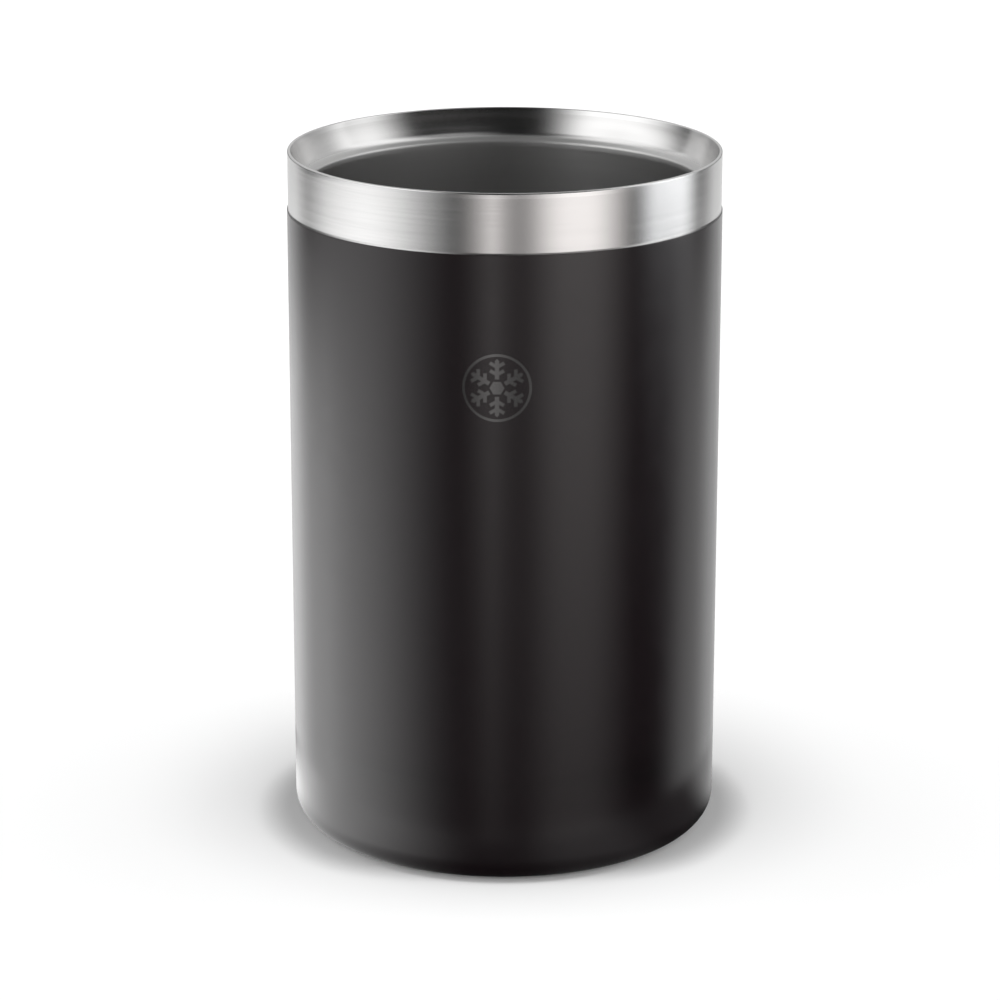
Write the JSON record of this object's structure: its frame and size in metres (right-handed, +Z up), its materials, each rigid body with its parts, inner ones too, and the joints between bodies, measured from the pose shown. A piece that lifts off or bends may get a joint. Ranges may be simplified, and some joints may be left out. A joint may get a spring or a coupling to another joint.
{
  "type": "insulated bottle chiller",
  "caption": "Free-standing double-walled vacuum chiller for one wine or champagne bottle, with a black coated body and a bare brushed steel band and flared mouth.",
  "frame": {"origin": "centre of the foot ring, on the plane it stands on", "axes": "+Z up along the axis of revolution, +X and +Y across; the seam of the inner foil faces +Y"},
  "size_m": [0.1246, 0.1246, 0.2005],
  "materials": {
    "brushed_outer_steel": "circumferential satin brush",
    "black_powder_coat": "baked fine-texture satin black",
    "liner_steel": "satin, electropolished",
    "polished_lip_steel": "polished",
    "weld_steel": "as welded",
    "copper_foil": "bright foil",
    "pressed_steel": "mill",
    "sealing_glass": "fused",
    "getter_alloy": "pressed powder",
    "base_cover_steel": "spun satin"
  },
  "bodies": {
    "root": {"outer_shell": "brushed_outer_steel", "powder_coat": "black_powder_coat", "inner_liner": "liner_steel", "inner_bottom": "liner_steel", "mouth_weld": "polished_lip_steel", "liner_bottom_weld": "weld_steel", "radiation_foil": "copper_foil", "vacuum_base_plate": "pressed_steel", "base_plate_weld": "weld_steel", "seal_bead": "sealing_glass", "getter_pill": "getter_alloy", "getter_bracket": "pressed_steel", "base_cover": "base_cover_steel"}
  },
  "joints": []
}
